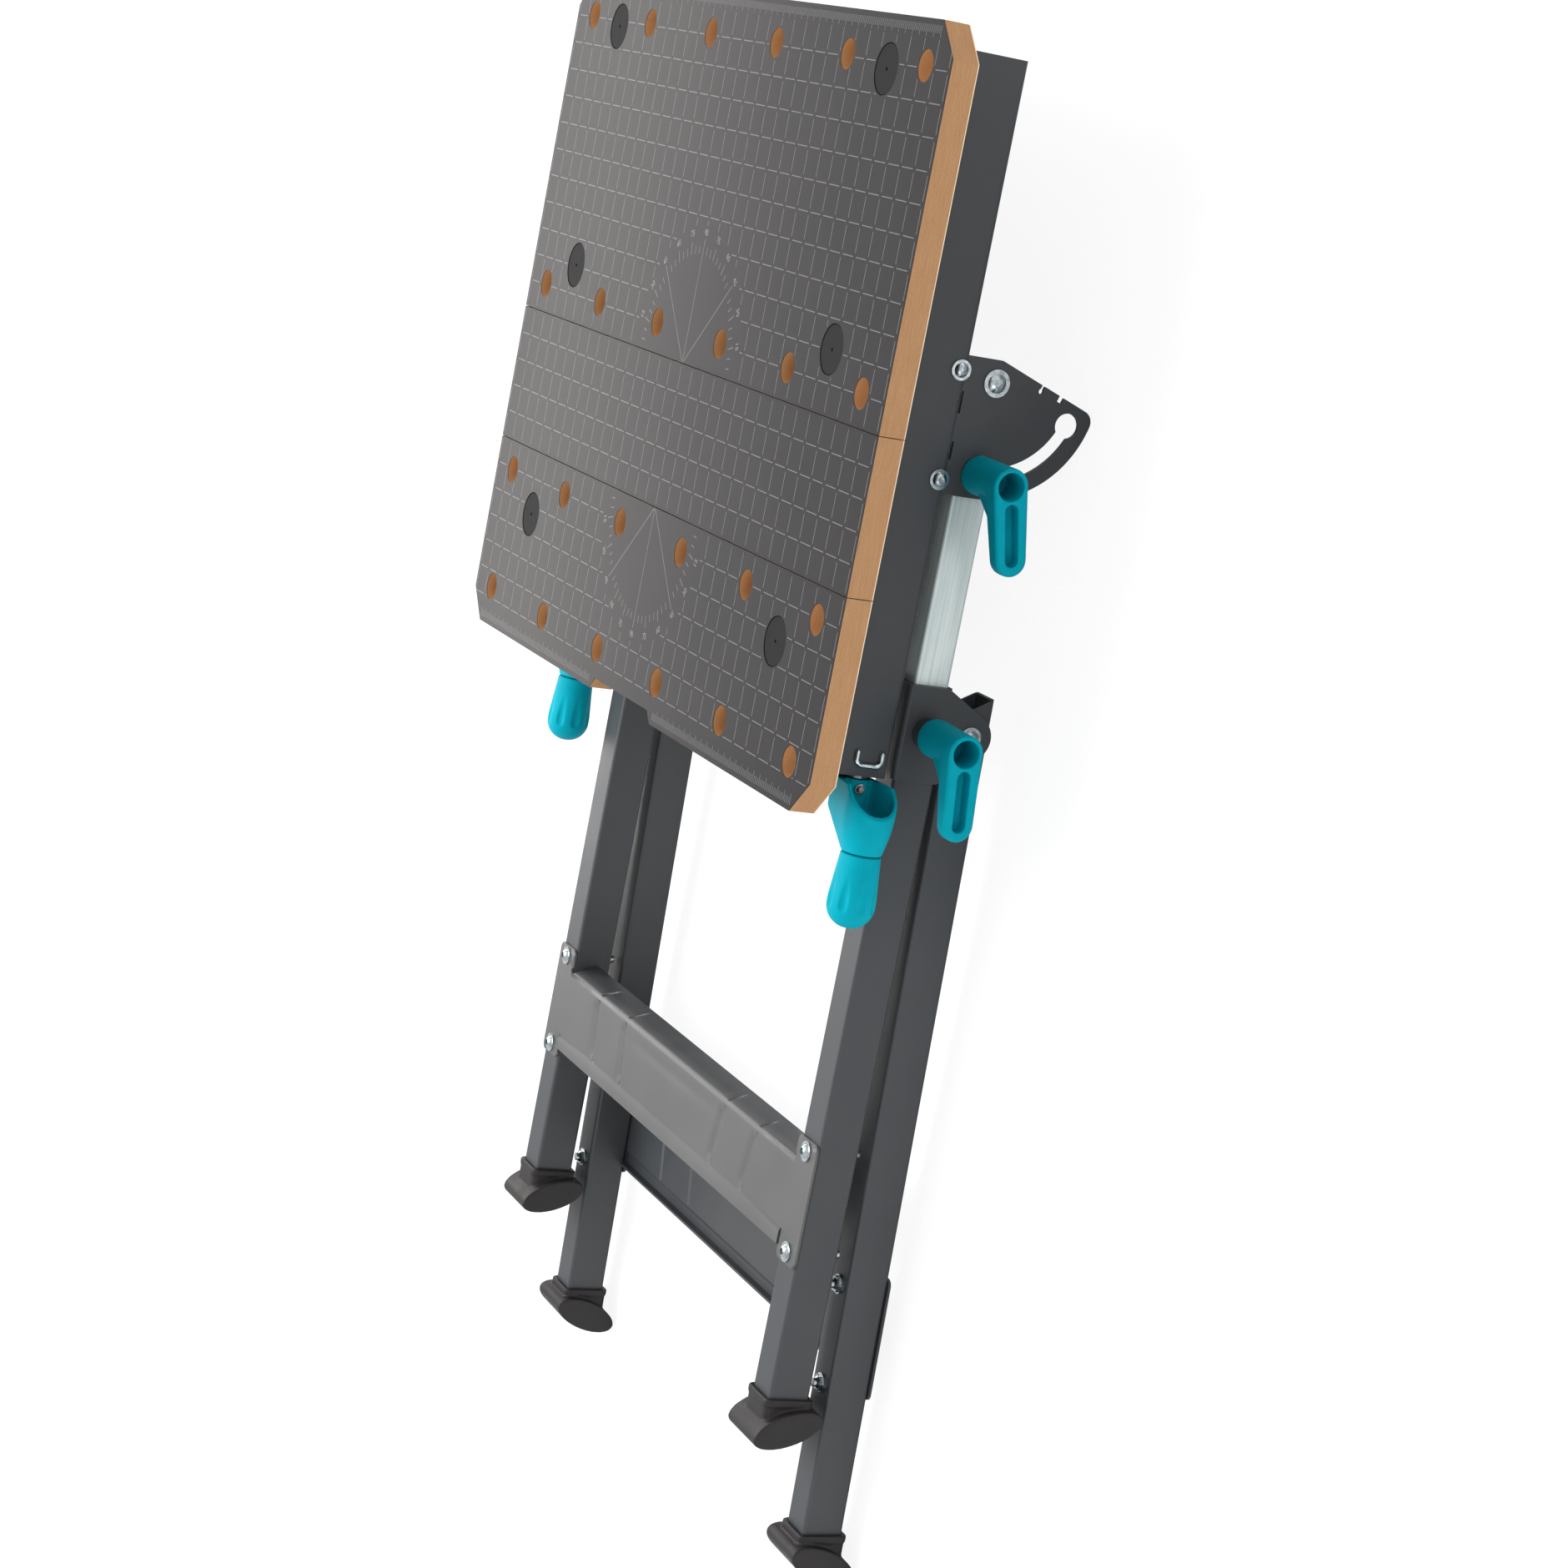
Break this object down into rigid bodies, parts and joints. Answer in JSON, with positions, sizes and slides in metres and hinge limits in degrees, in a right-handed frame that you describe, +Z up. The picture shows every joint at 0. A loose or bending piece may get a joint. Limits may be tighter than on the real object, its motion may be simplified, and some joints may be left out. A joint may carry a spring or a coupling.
{
  "type": "portable folding workbench",
  "caption": "Folding vice workbench lying folded on its back: split jaw table with dog holes, two crank spindles, tilt plates, height adjustable masts and crossing leg frames with treads.",
  "frame": {"origin": "on the ground under the middle of the folded bench's box, which lies on its back", "axes": "+X across the bench towards its right side in the picture, +Y towards the rear end of the table, +Z up, out of the table face"},
  "size_m": [0.646, 1.027, 0.1828],
  "materials": {
    "print": "printed and lacquered fibreboard face with raw brown edges, satin",
    "black_plastic": "black moulded plastic",
    "cap_plastic": "dark grey moulded plastic",
    "frame_paint": "anthracite powder coat, satin",
    "zinc": "bright zinc plated steel",
    "mast_zinc": "pale galvanised tube with faint drawing lines",
    "teal_plastic": "teal moulded nylon, satin",
    "foot_rubber": "dark brown black rubber"
  },
  "bodies": {
    "table": {"rear_jaw_board": "print", "rear_board_caps": "cap_plastic", "rear_board_bolts": "zinc", "rail_left": "frame_paint", "rail_right": "frame_paint", "cross_rail": "frame_paint", "tilt_plate_left": "frame_paint", "tilt_plate_right": "frame_paint", "tilt_plate_screws": "zinc", "tilt_plate_nuts": "zinc", "spindle_clips": "zinc", "spindle_bearings": "black_plastic"},
    "middle_panel": {"middle_panel": "print", "panel_pegs": "black_plastic"},
    "front_jaw": {"front_jaw_board": "print", "front_board_caps": "cap_plastic", "front_board_bolts": "zinc", "jaw_carriage_left": "black_plastic", "jaw_carriage_right": "black_plastic"},
    "spindle_left": {"spindle_left": "zinc"},
    "spindle_right": {"spindle_right": "zinc"},
    "crank_left": {"crank_left": "teal_plastic", "crank_screw_left": "zinc"},
    "crank_right": {"crank_right": "teal_plastic", "crank_screw_right": "zinc"},
    "grip_left": {"grip_left": "teal_plastic"},
    "grip_right": {"grip_right": "teal_plastic"},
    "mast": {"mast_left": "mast_zinc", "mast_right": "mast_zinc", "mast_shoes": "black_plastic", "tilt_pivot_bolts": "zinc", "tilt_pivot_nuts": "zinc", "tilt_clamp_bolts": "zinc", "mast_washers": "zinc"},
    "tilt_lever_left": {"tilt_lever_left": "teal_plastic"},
    "tilt_lever_right": {"tilt_lever_right": "teal_plastic"},
    "height_lever_left": {"height_lever_left": "teal_plastic", "height_stud_left": "zinc"},
    "height_lever_right": {"height_lever_right": "teal_plastic", "height_stud_right": "zinc"},
    "front_frame": {"front_leg_left": "frame_paint", "front_leg_right": "frame_paint", "head_bracket_left": "frame_paint", "head_bracket_right": "frame_paint", "mast_guides": "black_plastic", "height_bosses": "frame_paint", "front_tread": "frame_paint", "front_tread_screws": "zinc", "front_frame_nuts": "zinc", "leg_pivot_bolts": "zinc", "front_foot_left": "foot_rubber", "front_foot_right": "foot_rubber"},
    "rear_frame": {"rear_leg_left": "frame_paint", "rear_leg_right": "frame_paint", "rear_tread": "frame_paint", "rear_tread_screws": "zinc", "rear_tread_nuts": "zinc", "rear_foot_left": "foot_rubber", "rear_foot_right": "foot_rubber"}
  },
  "joints": [
    {"name": "leg_spread", "type": "hinge", "parent": "front_frame", "child": "rear_frame", "pos_m": [0, 0.07321, 0.04022], "axis": [1, 0, 0], "range_deg": [0, 61]},
    {"name": "height_slide", "type": "slide", "parent": "front_frame", "child": "mast", "axis": [0, 1, 0], "range_m": [0, 0.17]},
    {"name": "table_tilt", "type": "hinge", "parent": "mast", "child": "table", "pos_m": [0, 0.30151, 0.07242], "axis": [-1, 0, 0], "range_deg": [0, 70.5]},
    {"name": "middle_panel_lift", "type": "slide", "parent": "table", "child": "middle_panel", "axis": [0, 0, 1], "range_m": [0, 0.03]},
    {"name": "jaw_slide", "type": "slide", "parent": "table", "child": "front_jaw", "axis": [0, -1, 0], "range_m": [0, 0.045]},
    {"name": "spindle_left_turn", "type": "hinge", "parent": "table", "child": "spindle_left", "pos_m": [-0.235, 0.06351, 0.11012], "axis": [0, -1, 0], "range_deg": [0, 3250]},
    {"name": "spindle_right_turn", "type": "hinge", "parent": "table", "child": "spindle_right", "pos_m": [0.235, 0.06351, 0.11012], "axis": [0, -1, 0], "range_deg": [0, 3250]},
    {"name": "crank_left_turn", "type": "hinge", "parent": "table", "child": "crank_left", "pos_m": [-0.235, 0.02751, 0.11012], "axis": [0, -1, 0], "range_deg": [-200, 25]},
    {"name": "crank_right_turn", "type": "hinge", "parent": "table", "child": "crank_right", "pos_m": [0.235, 0.02751, 0.11012], "axis": [0, -1, 0], "range_deg": [-25, 200]},
    {"name": "grip_left_spin", "type": "hinge", "parent": "crank_left", "child": "grip_left", "pos_m": [-0.266, -0.02149, 0.11012], "axis": [0, -1, 0], "continuous": true},
    {"name": "grip_right_spin", "type": "hinge", "parent": "crank_right", "child": "grip_right", "pos_m": [0.266, -0.02149, 0.11012], "axis": [0, -1, 0], "continuous": true},
    {"name": "tilt_lever_left_turn", "type": "hinge", "parent": "mast", "child": "tilt_lever_left", "pos_m": [-0.26, 0.24251, 0.07242], "axis": [1, 0, 0], "range_deg": [0, 90]},
    {"name": "tilt_lever_right_turn", "type": "hinge", "parent": "mast", "child": "tilt_lever_right", "pos_m": [0.26, 0.24251, 0.07242], "axis": [1, 0, 0], "range_deg": [0, 90]},
    {"name": "height_lever_left_turn", "type": "hinge", "parent": "front_frame", "child": "height_lever_left", "pos_m": [-0.255, 0.07321, 0.07242], "axis": [1, 0, 0], "range_deg": [0, 90]},
    {"name": "height_lever_right_turn", "type": "hinge", "parent": "front_frame", "child": "height_lever_right", "pos_m": [0.255, 0.07321, 0.07242], "axis": [1, 0, 0], "range_deg": [0, 90]}
  ],
  "couplings": [
    {"joint": "spindle_left_turn", "follows": "jaw_slide", "rad_per_m": 1256.6},
    {"joint": "spindle_right_turn", "follows": "jaw_slide", "rad_per_m": 1256.6}
  ]
}
